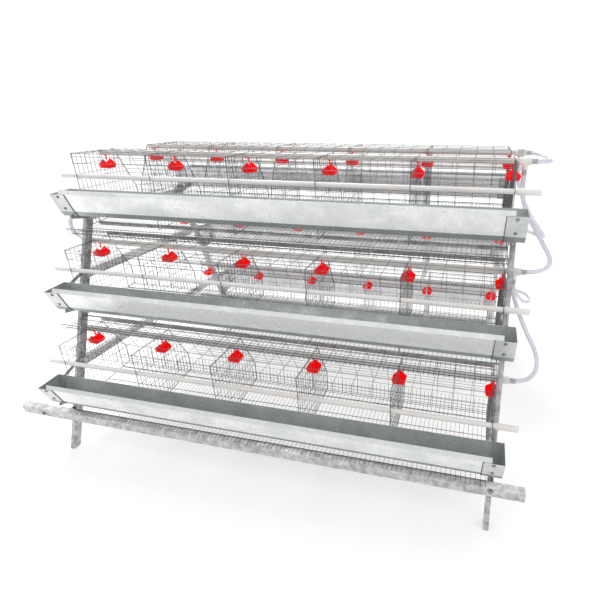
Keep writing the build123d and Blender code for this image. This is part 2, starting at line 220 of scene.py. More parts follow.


# The tilt of a face sets how much painted shade it gets: most on the lower fold, some inside, a little on
# the front, none on the back
paintedShade = {"fold": (0.34, 0.375, 0.365), "inside": (0.56, 0.60, 0.59),
        "capFold": (0.46, 0.50, 0.49), "capInside": (0.72, 0.76, 0.75)}
sheetShadeByTilt = [(0.24, paintedShade["fold"]), (0.285, 0.94), (0.335, 0.94), (0.365, 1.0), (0.42, 1.0), (0.50, 0.94),
             (0.55, 0.94), (0.59, paintedShade["inside"]), (0.65, paintedShade["inside"]), (0.70, 0.94)]
capShadeByTilt = [(0.24, paintedShade["capFold"]), (0.285, 1.0), (0.55, 1.0), (0.59, paintedShade["capInside"]),
           (0.65, paintedShade["capInside"]), (0.70, 1.0)]
sheetZinc = zincFinish("sheetZinc", {
    "spangle": 95.0, "cloud": 9.0, "grain": 420.0, "spread": (0.30, 0.66), "dark": (0.76, 0.775, 0.78),
    "light": (0.97, 0.98, 0.985), "crystal": 0.90, "speck": 0.93, "rough": (0.22, 0.36), "metal": 0.5,
    "bump": 0.06, "shadeByTilt": sheetShadeByTilt})
capZinc = zincFinish("capZinc", {
    "spangle": 95.0, "cloud": 14.0, "grain": 420.0, "spread": (0.30, 0.66), "dark": (0.52, 0.535, 0.54),
    "light": (0.70, 0.71, 0.715), "crystal": 0.90, "speck": 0.93, "rough": (0.26, 0.40), "metal": 0.6,
    "bump": 0.06, "shadeByTilt": capShadeByTilt})
# A lighter copy of the frame's zinc: painted light on the ties, which stand in shade
tieZinc = zincFinish("tieZinc", {
    "spangle": 60.0, "cloud": 30.0, "grain": 300.0, "spread": (0.34, 0.62), "dark": (0.70, 0.71, 0.72),
    "light": (0.92, 0.93, 0.94), "crystal": 0.85, "speck": 0.75, "rough": (0.36, 0.55), "metal": 0.35,
    "bump": 0.2})
frameZinc = zincFinish("frameZinc", {
    "spangle": 60.0, "cloud": 34.0, "grain": 260.0, "spread": (0.34, 0.62), "dark": (0.36, 0.37, 0.38),
    "light": (0.70, 0.71, 0.72), "crystal": 0.78, "speck": 0.62, "rough": (0.34, 0.55), "metal": 0.75,
    "bump": 0.3})
# A lighter copy of the frame's zinc for the beam, with its upward faces lighter than the rest: painted
# light on the top flange, which stands in shade
beamZinc = zincFinish("beamZinc", {
    "spangle": 60.0, "cloud": 34.0, "grain": 260.0, "spread": (0.34, 0.62), "dark": (0.58, 0.59, 0.60),
    "light": (0.98, 0.99, 1.0), "crystal": 0.80, "speck": 0.66, "rough": (0.34, 0.55), "metal": 0.4,
    "bump": 0.3, "shadeByTilt": [(0.86, 0.76), (0.95, 1.0)]})
# A darker copy of the frame's zinc: painted shade on the floor rails under the troughs
railZinc = zincFinish("railZinc", {
    "spangle": 60.0, "cloud": 22.0, "grain": 300.0, "spread": (0.34, 0.64), "dark": (0.30, 0.32, 0.32),
    "light": (0.56, 0.57, 0.58), "crystal": 0.82, "speck": 0.70, "rough": (0.40, 0.60), "metal": 0.75,
    "bump": 0.25})
wireZinc = zincFinish("wireZinc", {
    "spangle": 160.0, "cloud": 30.0, "grain": 700.0, "spread": (0.30, 0.70), "dark": (0.08, 0.082, 0.09),
    "light": (0.22, 0.224, 0.236), "crystal": 0.85, "speck": 0.80, "rough": (0.32, 0.50), "metal": 0.85,
    "bump": 0.1})
# A lighter copy of the wire finish: painted light on the far wires seen through the cage
litWireCopy = zincFinish("litWireCopy", {
    "spangle": 160.0, "cloud": 30.0, "grain": 700.0, "spread": (0.30, 0.70), "dark": (0.58, 0.585, 0.60),
    "light": (0.80, 0.805, 0.82), "crystal": 0.90, "speck": 0.85, "rough": (0.32, 0.50), "metal": 0.4,
    "bump": 0.1})
boltZinc = zincFinish("boltZinc", {
    "spangle": 300.0, "cloud": 90.0, "grain": 900.0, "spread": (0.30, 0.70), "dark": (0.20, 0.20, 0.21),
    "light": (0.45, 0.45, 0.47), "crystal": 0.9, "speck": 0.8, "rough": (0.25, 0.40), "metal": 0.95,
    "bump": 0.1})
whiteTube = plasticFinish("whiteTube", {
    "drift": 6.0, "grain": 320.0, "dark": (0.76, 0.725, 0.705), "light": (0.85, 0.82, 0.80),
    "rough": (0.30, 0.44), "bump": 0.06, "soft": 0.05})
greyTube = plasticFinish("greyTube", {
    "drift": 7.0, "grain": 320.0, "dark": (0.60, 0.575, 0.55), "light": (0.70, 0.67, 0.64),
    "rough": (0.30, 0.46), "bump": 0.06})
socketTube = plasticFinish("socketTube", {
    "drift": 30.0, "grain": 400.0, "dark": (0.74, 0.71, 0.67), "light": (0.83, 0.80, 0.76),
    "rough": (0.28, 0.42), "bump": 0.06})
# The red has a slight glow: painted light that makes cups and nipples brighter than the lamps light them
redPlastic = plasticFinish("redPlastic", {
    "drift": 40.0, "grain": 500.0, "dark": (0.90, 0.002, 0.004), "light": (1.0, 0.004, 0.006),
    "rough": (0.34, 0.48), "bump": 0.05, "soft": 0.1, "glow": 0.16, "shine": 0.2})
clearHose = plasticFinish("clearHose", {
    "drift": 14.0, "grain": 300.0, "dark": (0.80, 0.79, 0.89), "light": (0.90, 0.89, 0.96),
    "rough": (0.12, 0.24), "bump": 0.03, "clear": 0.45})
cuffPlastic = plasticFinish("cuffPlastic", {
    "drift": 40.0, "grain": 300.0, "dark": (0.36, 0.36, 0.38), "light": (0.46, 0.46, 0.48),
    "rough": (0.25, 0.4), "bump": 0.05})
# Near-black finish of the beads that paint the shadow line at each cap's seam
seamShadowBlack = plasticFinish("seamShadowBlack", {
    "drift": 60.0, "grain": 500.0, "dark": (0.018, 0.019, 0.020), "light": (0.045, 0.046, 0.048),
    "rough": (0.5, 0.7), "bump": 0.1})
print("finishes made")


# Making and placing pieces

making = {"smooth": radians(40), "sharp": radians(25), "flat": radians(1), "weld": 1e-6, "cadWeld": 1e-5,
          "edgeSteps": 2, "tightest": 0.5}  # tightest is the least cosine of a wire's bend


def addPiece(name, bm, finish, body="cage", nodes=(), smooth=False):
    mesh = bpy.data.meshes.new(name)
    bm.to_mesh(mesh)
    bm.free()
    if smooth:
        mesh.shade_smooth()
        mesh.set_sharp_from_angle(angle=making["smooth"])
    mesh.materials.append(finish)
    piece = bpy.data.objects.new(name, mesh)
    scene.collection.objects.link(piece)
    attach(piece, body)
    if nodes:
        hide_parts(*nodes)
    return piece


def along(start, end):
    # Matrix that stands the Z axis on the line from start to end, at its middle
    start, end = Vector(start), Vector(end)
    turn = (end - start).to_track_quat("Z", "Y").to_matrix().to_4x4()
    return Matrix.Translation((start + end) / 2) @ turn, (end - start).length


def rod(bm, start, end, radius, sides=6):
    place, length = along(start, end)
    bmesh.ops.create_cone(bm, cap_ends=True, segments=sides, radius1=radius, radius2=radius,
                          depth=length, matrix=place)


def block(bm, low, high):
    low, high = Vector(low), Vector(high)
    place = Matrix.Translation((low + high) / 2) @ Matrix.Diagonal((*(high - low), 1))
    bmesh.ops.create_cube(bm, size=1.0, matrix=place)


def bentWire(bm, points, radius, sides=6):
    # A wire bent in a plane of constant X: rings at the points, bridged in order
    points = [Vector(p) for p in points]
    side = Vector((1, 0, 0))
    rings = []
    for i, point in enumerate(points):
        before = (point - points[i - 1]).normalized() if i else (points[1] - point).normalized()
        after = (points[i + 1] - point).normalized() if i + 1 < len(points) else before
        run = (before + after).normalized()
        out = run.cross(side)
        stretch = 1 / max(run.dot(before), making["tightest"])
        place = Matrix((side, out * stretch, run)).transposed().to_4x4()
        place.translation = point
        ends = i in (0, len(points) - 1)
        made = bmesh.ops.create_circle(bm, cap_ends=ends, segments=sides, radius=radius, matrix=place)
        rings.append(list({edge for v in made["verts"] for edge in v.link_edges}))
    for first, second in zip(rings, rings[1:]):
        bmesh.ops.bridge_loops(bm, edges=first + second)


def spread(bm, offsets):
    # Copies what the bmesh holds to each offset along X, and drops the first one
    seed = bm.verts[:] + bm.edges[:] + bm.faces[:]
    for x in offsets:
        copy = bmesh.ops.duplicate(bm, geom=seed)["geom"]
        moved = [v for v in copy if isinstance(v, bmesh.types.BMVert)]
        bmesh.ops.translate(bm, vec=(x, 0, 0), verts=moved)
    bmesh.ops.delete(bm, geom=[v for v in seed if isinstance(v, bmesh.types.BMVert)], context="VERTS")


def turned(profile, sides, closed=False):
    # A profile of (radius, height) points spun about Z
    part = bmesh.new()
    verts = [part.verts.new((radius, 0, height)) for radius, height in profile]
    after = verts[1:] + verts[:1] if closed else verts[1:]
    edges = [part.edges.new(pair) for pair in zip(verts, after)]
    bmesh.ops.spin(part, geom=verts + edges, axis=(0, 0, 1), cent=(0, 0, 0), angle=2 * pi, steps=sides,
                   use_merge=True)
    bmesh.ops.remove_doubles(part, verts=part.verts, dist=making["weld"])
    bmesh.ops.recalc_face_normals(part, faces=part.faces)
    return part


def facing(spot, out):
    # Matrix that puts a part's Z axis on the outward direction at the spot
    return Matrix.Translation(spot) @ Vector(out).to_track_quat("Z", "Y").to_matrix().to_4x4()


def stamp(bm, part, places):
    # Copies of a small part at each place, added to the piece
    holder = bpy.data.meshes.new("holder")
    for place in places:
        part.to_mesh(holder)
        holder.transform(place)
        bm.from_mesh(holder)
    bpy.data.meshes.remove(holder)
    part.free()


def softened(node, finish, edge):
    # A copy of a CAD node with its sharp edges eased
    bm = bmesh.new()
    bm.from_mesh(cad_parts[node].data)
    bmesh.ops.remove_doubles(bm, verts=bm.verts, dist=making["cadWeld"])
    bmesh.ops.dissolve_limit(bm, angle_limit=making["flat"], verts=bm.verts, edges=bm.edges)
    folds = [e for e in bm.edges if len(e.link_faces) == 2]
    sharp = [e for e in folds if e.calc_face_angle() > making["sharp"]]
    bmesh.ops.bevel(bm, geom=sharp, offset=edge, segments=making["edgeSteps"], profile=0.5, affect="EDGES",
                    material=-1, clamp_overlap=True)
    return addPiece("soft_" + node, bm, finish, nodes=[node], smooth=True)


def setRow(bm, side, tier):
    bmesh.ops.transform(bm, matrix=rowMatrix(side, tier), verts=bm.verts)
    bmesh.ops.recalc_face_normals(bm, faces=bm.faces)


# Hoses, on the routes of the CAD tubes

hoses = {"radius": 0.009, "pipeDepth": 0.204, "pipeDrop": 0.0134, "stub": 0.032,
         "starts": {"front": (0.992, 0.990, 1.010), "rear": (0.998, 0.990, 1.010)},
         "lengths": (0.048, 0.048, 0.026), "stubPlace": 0.024, "pipeLeft": -1.000, "inlet": 0.024,
         "couplingHeight": 1.078, "coupling": 0.050, "order": 3, "steps": 8, "roundness": 5}


def pipeSpot(side, tier):
    spot = rowMatrix(side, tier) @ Vector((0, hoses["pipeDepth"], -hoses["pipeDrop"]))
    return spot.y, spot.z


def socketStart(side, tier):
    return rowMiddle + hoses["starts"][side][tier]


def socketEnd(side, tier):
    return socketStart(side, tier) + hoses["lengths"][tier]


def layHose(name, points):
    curve = bpy.data.curves.new(name, "CURVE")
    curve.dimensions = "3D"
    spline = curve.splines.new("NURBS")
    spline.points.add(len(points) - 1)
    for point, place in zip(spline.points, points):
        point.co = (*place, 1)
    spline.order_u = hoses["order"]
    spline.use_endpoint_u = True
    spline.resolution_u = hoses["steps"]
    curve.bevel_depth = hoses["radius"]
    curve.bevel_resolution = hoses["roundness"]
    curve.use_fill_caps = True
    curve.materials.append(clearHose)
    piece = bpy.data.objects.new(name, curve)
    scene.collection.objects.link(piece)
    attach(piece, "cage")
    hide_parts(name)


def layDropper(side, tier, fromHead, fromFoot):
    sign = 1 if side == "front" else -1
    headY, headZ = pipeSpot(side, tier)
    footY, footZ = pipeSpot(side, tier + 1)
    head = Vector((socketStart(side, tier) + hoses["stubPlace"], headY, headZ - hoses["stub"]))
    foot = Vector((socketEnd(side, tier + 1), footY, footZ))
    route = [head + Vector((x, sign * y, z)) for x, y, z in fromHead]
    route += [foot + Vector((x, sign * y, z)) for x, y, z in fromFoot]
    layHose("hose_" + rowName(side, tier), route)


drops = {
    ("front", 0): ([(0, 0, 0), (0, 0, -0.052), (0.005, -0.060, -0.130)],
                   [(0.064, 0.022, 0.124), (0.118, 0.006, 0.042), (0.064, 0, 0), (0, 0, 0)], 0.533),
    ("front", 1): ([(0, 0, 0), (0, 0, -0.047), (0.025, -0.060, -0.106), (0.064, -0.108, -0.180)],
                   [(0.094, 0.022, 0.116), (0.096, 0.006, 0.044), (0.052, 0, 0), (0, 0, 0)], 0.511),
    ("rear", 0): ([(0, 0, 0), (0, 0, -0.052), (0.014, -0.012, -0.145), (0.098, -0.040, -0.290)],
                  [(0.162, 0.088, -0.008), (0.146, 0.012, -0.028), (0.074, 0, 0), (0, 0, 0)], 0.656),
    ("rear", 1): ([(0, 0, 0), (0, 0, -0.047), (0.016, -0.012, -0.136), (0.066, -0.028, -0.295)],
                  [(0.114, 0.112, -0.036), (0.172, 0.064, -0.038), (0.144, 0.006, -0.018), (0.072, 0, 0),
                   (0, 0, 0)], 0.712),
}
for (side, tier), (fromHead, fromFoot, length) in drops.items():
    layDropper(side, tier, fromHead, fromFoot)

bridge = {"fromFront": [(0, 0, 0), (0.056, 0, 0), (0.090, 0.094, -0.004)],
          "fromRear": [(0.078, -0.096, -0.006), (0.052, 0, 0), (0, 0, 0)], "length": 0.475}
bridgeY, bridgeZ = pipeSpot("rear", 0)
frontEnd = socketEnd("front", 0)
rearEnd = socketEnd("rear", 0)
route = [(frontEnd + x, -bridgeY + y, bridgeZ + z) for x, y, z in bridge["fromFront"]]
route += [(rearEnd + x, bridgeY + y, bridgeZ + z) for x, y, z in bridge["fromRear"]]
layHose("hose_bridge", route)

inlet = {"fromPipe": [(0, 0, 0), (-0.060, 0, 0), (-0.102, -0.008, 0.072)],
         "fromCoupling": [(-0.055, 0, 0), (0, 0, 0)], "length": 0.259}
pipeLeft = rowMiddle + hoses["pipeLeft"]
inletSpot = (pipeLeft - hoses["inlet"], *pipeSpot("front", 1))
couplingSpot = (rowMiddle - leg["outside"] - hoses["coupling"], -leanAt(hoses["couplingHeight"]),
                hoses["couplingHeight"])
route = []
for spot, offsets in ((inletSpot, inlet["fromPipe"]), (couplingSpot, inlet["fromCoupling"])):
    route += [(spot[0] + x, spot[1] + y, spot[2] + z) for x, y, z in offsets]
layHose("hose_inlet", route)
print("hoses laid")


def wireFinish(side, tier):
    # The lower rows of the far side get a lighter copy of the wire finish: painted light on the inside of
    # the cage, which stands in shade
    return litWireCopy if side == "rear" and tier else wireZinc


# Top nets: bent wires front to back, straight ones along the row

topNet = {"radius": 0.0009, "spaces": 5, "lip": -0.045, "lipWires": (-0.016, -0.045),
          "topWires": (0.0, 0.085, 0.170, 0.250), "slopeWires": 9, "backWires": (-0.225, -0.262, -0.300),
          "tail": 0.003, "lay": 1.9, "slopeStart": 0.6}  # lay is in wire radii


def makeTopNet(side, tier):
    bm = bmesh.new()
    reach = cage["depth"]
    bentWire(bm, [(0, 0, topNet["lip"]), (0, 0, 0), (0, cage["ridge"], 0), (0, reach, cage["bend"]),
                  (0, reach, cage["rear"] - topNet["tail"])], topNet["radius"])
    pitch = cage["pitch"] / topNet["spaces"]
    spread(bm, [-rowHalf + pitch * i for i in range(cage["cells"] * topNet["spaces"] + 1)])
    inside = topNet["radius"] * topNet["lay"]
    end = rowHalf + cage["overhang"]
    spots = [(depth, -inside) for depth in topNet["topWires"]]
    spots += [(inside, level) for level in topNet["lipWires"]]
    for i in range(topNet["slopeWires"]):
        share = (i + topNet["slopeStart"]) / topNet["slopeWires"]
        depth = cage["ridge"] + share * (reach - cage["ridge"]) - inside
        spots.append((depth, share * cage["bend"] - inside / 2))
    spots += [(reach - inside, level) for level in topNet["backWires"]]
    for depth, level in spots:
        rod(bm, (-end, depth, level), (end, depth, level), topNet["radius"])
    setRow(bm, side, tier)
    name = "top_net_" + rowName(side, tier)
    addPiece("wires_" + name, bm, wireFinish(side, tier), nodes=[name])


# Floor nets: close wires down the slope, a few along the row, the tray's lip

floorNet = {"radius": 0.0008, "edge": 0.0019, "spaces": 20, "tray": -0.112, "lip": 0.029, "lean": 0.008,
            "beamEnd": -0.050, "crossWires": (0.366, 0.29, 0.215, 0.14, 0.065, -0.02),
            "trayWires": (-0.06, -0.095), "backTop": -0.235, "backGap": (0.002, 0.004),
            "lay": 0.9, "cross": 0.8, "sides": 5}  # lay and cross are shares of a wire's radius


def makeFloorNet(side, tier):
    bm = bmesh.new()
    lipped = tier < lowest  # the bottom floors end at the beam, without a tray
    front = floorNet["tray"] if lipped else floorNet["beamEnd"]
    up = floorNet["radius"]
    upper, lower = (cage["depth"] - gap for gap in floorNet["backGap"])
    line = [(0, upper, floorNet["backTop"]), (0, lower, floorLevel(cage["depth"]) + up),
            (0, front, floorLevel(front) + up)]
    if lipped:
        line.append((0, front - floorNet["lean"], floorLevel(front) + floorNet["lip"]))
    bentWire(bm, line, floorNet["radius"], floorNet["sides"])
    pitch = cage["pitch"] / floorNet["spaces"]
    spread(bm, [-rowHalf + pitch * i for i in range(cage["cells"] * floorNet["spaces"] + 1)])
    end = rowHalf + cage["overhang"]
    for depth in floorNet["crossWires"] + (floorNet["trayWires"] if lipped else ()):
        level = floorLevel(depth) - floorNet["radius"] * floorNet["lay"]
        rod(bm, (-end, depth, level), (end, depth, level), floorNet["edge"] * floorNet["cross"])
    if lipped:
        depth = front - floorNet["lean"]
        tip = floorLevel(front) + floorNet["lip"]
        rod(bm, (-end, depth, tip), (end, depth, tip), floorNet["edge"])
    setRow(bm, side, tier)
    name = "floor_net_" + rowName(side, tier)
    addPiece("wires_" + name, bm, wireFinish(side, tier), nodes=[name])


# Partitions: a bent frame, close upright wires, level wires that carry neck rail and cup

divider = {"radius": 0.0009, "frame": 0.0013, "inset": 0.0042, "pitch": 0.0255,
           "cupDepth": (0.1785, 0.2295), "cupFloor": -0.094,
           "levels": (-0.094, -0.1148, -0.160, -0.205, -0.250, -0.295), "split": -0.050,
           "corner": 0.6, "lay": 0.8, "sides": 5}
dividerRidge = cage["ridge"] - divider["inset"] * divider["corner"]


def dividerTop(depth):
    beyond = max(0.0, depth - dividerRidge)
    return -divider["inset"] + beyond * cage["bend"] / (cage["depth"] - cage["ridge"])


def dividerBack(level):
    # Depth at which a level wire meets the sloping back
    return dividerRidge + (level + divider["inset"]) * (cage["depth"] - cage["ridge"]) / cage["bend"]


def makePartitions(side, tier):
    bm = bmesh.new()
    inset = divider["inset"]
    rear = cage["depth"] - inset
    outline = [(0, inset, -inset), (0, dividerRidge, -inset), (0, rear, dividerTop(rear)),
               (0, rear, floorLevel(rear) + inset), (0, inset, floorLevel(inset) + inset)]
    before, behind = divider["cupDepth"]
    runs = [(outline[0], (0, before, -inset)), ((0, behind, -inset), outline[1])]
    for start, end in runs + list(zip(outline[1:], outline[2:] + outline[:1])):
        rod(bm, start, end, divider["frame"])
    frontSpan = before - inset
    count = round(frontSpan / divider["pitch"])
    depths = [inset + frontSpan * i / count for i in range(1, count + 1)]
    rearSpan = rear - behind
    count = round(rearSpan / divider["pitch"])
    depths += [behind + rearSpan * i / count for i in range(count)]
    step = divider["frame"] + divider["radius"] * divider["lay"]
    uprights = [(depth, dividerTop(depth)) for depth in depths]
    uprights += [(before + (behind - before) * share, divider["cupFloor"]) for share in (1 / 3, 2 / 3)]
    for depth, top in uprights:
        foot = floorLevel(depth) + inset
        rod(bm, (-step, depth, top), (-step, depth, foot), divider["radius"], divider["sides"])
    levels = [(level, inset, min(rear, dividerBack(level))) for level in divider["levels"]]
    split = divider["split"]
    levels += [(split, inset, before), (split, behind, dividerBack(split))]
    for level, start, stop in levels:
        rod(bm, (0, start, level), (0, stop, level), divider["radius"], divider["sides"])
    spread(bm, partitionPlaces)
    setRow(bm, side, tier)
    name = "partitions_" + rowName(side, tier)
    addPiece("wires_" + name, bm, wireFinish(side, tier), nodes=[name])


for side, tier in rows:
    makeTopNet(side, tier)
    makeFloorNet(side, tier)
    makePartitions(side, tier)
print("nets and partitions made")


# Feed troughs of folded sheet

trough = {"line": [(-0.005, -0.160), (-0.030, -0.270), (-0.066, -0.270), (-0.080, -0.248),
                   (-0.114, -0.166), (-0.106, -0.149)],
          "half": 0.981, "sheet": 0.0012, "fold": 0.0025, "foldSteps": 3, "foldAngle": radians(20)}


def foldSheet(bm, line, start, end):
    # The fold line at one end, drawn along the row to the other
    verts = [bm.verts.new((start, y, z)) for y, z in line]
    edges = [bm.edges.new(pair) for pair in zip(verts, verts[1:])]
    made = bmesh.ops.extrude_edge_only(bm, edges=edges)["geom"]
    moved = [v for v in made if isinstance(v, bmesh.types.BMVert)]
    bmesh.ops.translate(bm, vec=(end - start, 0, 0), verts=moved)


def stiffen(piece, thickness, fold, offset):
    # Gives a folded sheet its wall and rounds its folds
    wall = piece.modifiers.new("wall", "SOLIDIFY")
    wall.thickness = thickness
    wall.offset = offset
    soft = piece.modifiers.new("folds", "BEVEL")
    soft.width = fold
    soft.segments = trough["foldSteps"]
    soft.limit_method = "ANGLE"
    soft.angle_limit = trough["foldAngle"]


def makeTrough(side, tier):
    bm = bmesh.new()
    foldSheet(bm, trough["line"], -trough["half"], trough["half"])
    setRow(bm, side, tier)
    name = "trough_" + rowName(side, tier)
    piece = addPiece("sheet_" + name, bm, sheetZinc, nodes=[name])
    stiffen(piece, trough["sheet"], trough["fold"], 1.0)


for side, tier in rows:
    makeTrough(side, tier)


# Trough ends: a sleeve round the trough and a wall, in one folded sheet

endCap = {"end": 1.026, "sleeve": 0.075, "gap": 0.0026, "fold": 0.0012}


def grown(line, amount):
    # The fold line moved outward, with its corners kept sharp
    line = [Vector(point) for point in line]
    outs = [Vector((end.y - start.y, start.x - end.x)).normalized() for start, end in zip(line, line[1:])]
    moved = [line[0] - outs[0] * amount]
    for point, first, second in zip(line[1:], outs, outs[1:]):
        moved.append(point - (first + second) * (amount / (1 + first.dot(second))))
    return moved + [line[-1] - outs[-1] * amount]


def makeEndCaps():
    bm = bmesh.new()
    outline = grown(trough["line"][:-1], endCap["gap"])
    for side, tier in rows:
        for end in (-1, 1):
            cap = bmesh.new()
            edge = end * (endCap["end"] + trough["sheet"] / 2)
            foldSheet(cap, outline, end * (endCap["end"] - endCap["sleeve"]), edge)
            wall = [v for v in cap.verts if abs(v.co.x - edge) < making["weld"]]
            bmesh.ops.contextual_create(cap, geom=wall)
            setRow(cap, side, tier)
            stamp(bm, cap, [Matrix.Identity(4)])
    piece = addPiece("caps_of_troughs", bm, capZinc, nodes=["trough_end_caps"])
    stiffen(piece, trough["sheet"], endCap["fold"], 0.0)


makeEndCaps()


seamShadow = {"bead": 0.0026, "edge": 0.0004}


def makeSeamShadows():
    # A black bead round the trough where each sleeve begins: a painted shadow line at the seam
    bm = bmesh.new()
    outline = grown(trough["line"][:-1], trough["sheet"] + seamShadow["bead"] / 2)
    begin = endCap["end"] - endCap["sleeve"] - seamShadow["bead"]
    for side, tier in rows:
        for end in (-1, 1):
            bead = bmesh.new()
            foldSheet(bead, outline, end * begin, end * (begin + seamShadow["bead"]))
            setRow(bead, side, tier)
            stamp(bm, bead, [Matrix.Identity(4)])
    piece = addPiece("shadow_beads_of_caps", bm, seamShadowBlack)
    stiffen(piece, seamShadow["bead"], seamShadow["edge"], 0.0)


makeSeamShadows()
print("troughs folded")


# Neck rails of tube, with a wider socket at one end

neckRail = {"outer": 0.0100, "wall": 0.0018, "rim": 0.0006, "depth": 0.0165, "drop": 0.103, "half": 1.070,
            "socket": 0.0128, "socketStart": 0.981, "socketRise": 0.0022, "socketRim": 0.0008, "sides": 28}


def railSection():
    # Wall of a neck rail: a plain rim at one end, a wider socket at the other
    outer, bell = neckRail["outer"], neckRail["socket"]
    inner = outer - neckRail["wall"]
    length = neckRail["half"] * 2
    step = neckRail["half"] + neckRail["socketStart"]
    rim, bellRim, rise = neckRail["rim"], neckRail["socketRim"], neckRail["socketRise"]
    return [(inner, 0), (outer - rim, 0), (outer, rim), (outer, step), (bell - bellRim, step + rise),
            (bell, step + rise * 2), (bell, length - bellRim), (bell - bellRim, length), (inner, length)]


for side, tier in rows:
    bm = bmesh.new()
    spot = Vector((-neckRail["half"], neckRail["depth"], -neckRail["drop"]))
    stamp(bm, turned(railSection(), neckRail["sides"], True), [facing(spot, (1, 0, 0))])
    setRow(bm, side, tier)
    name = "neck_rail_" + rowName(side, tier)
    addPiece("tube_" + name, bm, whiteTube, body=name, nodes=[name], smooth=True)


# Drinking lines: pipes, their sockets, plugs and stubs, and the cuffs of the hoses

waterLine = {"pipe": 0.0125, "pipeRim": 0.001, "socket": 0.0160, "stub": 0.0120, "stubSeat": 0.004,
             "rim": 0.0012, "plugWall": 0.0024, "plugLength": 0.022, "plugOver": 0.004,
             "sides": 28, "stubSides": 24}
cuff = {"outer": 0.0108, "bore": 0.0088, "rim": 0.0008, "length": 0.022, "sides": 24}
pipes, fittings, cuffs = bmesh.new(), bmesh.new(), bmesh.new()


def ringProfile(inner, outer, length, rim):
    # Section of a tube's wall, open at both ends, with eased rims
    return [(inner, 0), (outer - rim, 0), (outer, rim), (outer, length - rim), (outer - rim, length),
            (inner, length)]


def addFitting(radius, length, spot, out, sides):
    # A solid sleeve, plug or stub of the drinking lines
    stamp(fittings, turned(ringProfile(0.0, radius, length, waterLine["rim"]), sides), [facing(spot, out)])


def addCuff(spot, out):
    # The collar on a hose's end
    wall = ringProfile(cuff["bore"], cuff["outer"], cuff["length"], cuff["rim"])
    stamp(cuffs, turned(wall, cuff["sides"], True), [facing(spot, out)])


for side, tier in rows:
    start, length = socketStart(side, tier), hoses["lengths"][tier]
    y, z = pipeSpot(side, tier)
    radius, rim = waterLine["pipe"], waterLine["pipeRim"]
    line = [(0, 0), (radius - rim, 0), (radius, rim), (radius, start - pipeLeft)]
    stamp(pipes, turned(line, waterLine["sides"]), [facing((pipeLeft, y, z), (1, 0, 0))])
    addFitting(waterLine["socket"], length, (start, y, z), (1, 0, 0), waterLine["sides"])
    if (side, tier) != ("front", 1):  # that line has the inlet instead of a plug
        spot = (pipeLeft - waterLine["plugOver"], y, z)
        outer = radius + waterLine["plugWall"]
        addFitting(outer, waterLine["plugLength"], spot, (1, 0, 0), waterLine["sides"])
    if tier < lowest:  # a dropper leaves every line but the lowest
        middle = (start + hoses["stubPlace"], y, z - hoses["stub"])
        rise = hoses["stub"] - waterLine["stubSeat"]
        addFitting(waterLine["stub"], rise, middle, (0, 0, 1), waterLine["stubSides"])
        addCuff(middle, (0, 0, -1))
    addCuff((start + length, y, z), (1, 0, 0))
addFitting(waterLine["socket"], hoses["inlet"], inletSpot, (1, 0, 0), waterLine["sides"])
addFitting(waterLine["stub"], hoses["coupling"], couplingSpot, (1, 0, 0), waterLine["stubSides"])
addCuff(inletSpot, (-1, 0, 0))
addCuff(couplingSpot, (-1, 0, 0))
addPiece("tubes_of_water", pipes, greyTube, nodes=["water_pipes"], smooth=True)
addPiece("sockets_of_water", fittings, socketTube, nodes=["water_fittings"], smooth=True)
addPiece("hose_cuffs", cuffs, cuffPlastic, smooth=True)
print("tubes turned")


# Drinkers: cup, nipple and the pin in it

cup = {"edge": 0.0009, "widen": 1.14}
nipple = {"top": -0.0259, "sides": 14,
          "profile": [(0, 0), (0.0060, 0), (0.0060, -0.0035), (0.0030, -0.0046), (0.0030, -0.0120),
                      (0.0042, -0.0130), (0.0042, -0.0185), (0.0034, -0.0208), (0.0017, -0.0208),
                      (0.0017, -0.0100), (0, -0.0100)]}
pin = {"top": -0.0399, "sides": 12,
       "profile": [(0, -0.014), (0.00096, -0.014), (0.00156, -0.0128), (0.0012, -0.0116), (0.0012, 0),
                   (0, 0)]}


def drinkerPlaces(side, tier, level):
    # One place on the drinking line above each cup of a row
    spots = [Vector((x, hoses["pipeDepth"], level)) for x in partitionPlaces]
    return [Matrix.Translation(rowMatrix(side, tier) @ spot) for spot in spots]


cups = softened("drinker_cups", redPlastic, cup["edge"])
# The cups are wider along the row than those of the CAD
for vert in cups.data.vertices:
    middle = min((rowMiddle + x for x in partitionPlaces), key=lambda x: abs(vert.co.x - x))
    vert.co.x = middle + (vert.co.x - middle) * cup["widen"]
bm = bmesh.new()
for side, tier in rows:
    places = drinkerPlaces(side, tier, nipple["top"])
    stamp(bm, turned(nipple["profile"], nipple["sides"]), places)
addPiece("nipple_bodies", bm, redPlastic, nodes=["nipples"], smooth=True)
for side, tier in rows:
    bm = bmesh.new()
    places = drinkerPlaces(side, tier, pin["top"])
    stamp(bm, turned(pin["profile"], pin["sides"]), places)
    name = "valve_pins_" + rowName(side, tier)
    addPiece("steel_" + name, bm, boltZinc, body=name, nodes=[name], smooth=True)
print("drinkers made")


# Frame of folded channel, rails, straps and brackets

edges = {"channel": 0.0007, "rail": 0.0006}
frameFinishes = {"leg": frameZinc, "trough_brackets": frameZinc, "beam": beamZinc, "ties": tieZinc,
                 "top_tie": tieZinc, "hanger": tieZinc}
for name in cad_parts:
    for start, finish in frameFinishes.items():
        if name.startswith(start):
            softened(name, finish, edges["channel"])
softened("floor_rails", railZinc, edges["rail"])
print("frame softened")


# Bolts on the trough ends, beams, ties and brackets, and the clip of the rear line

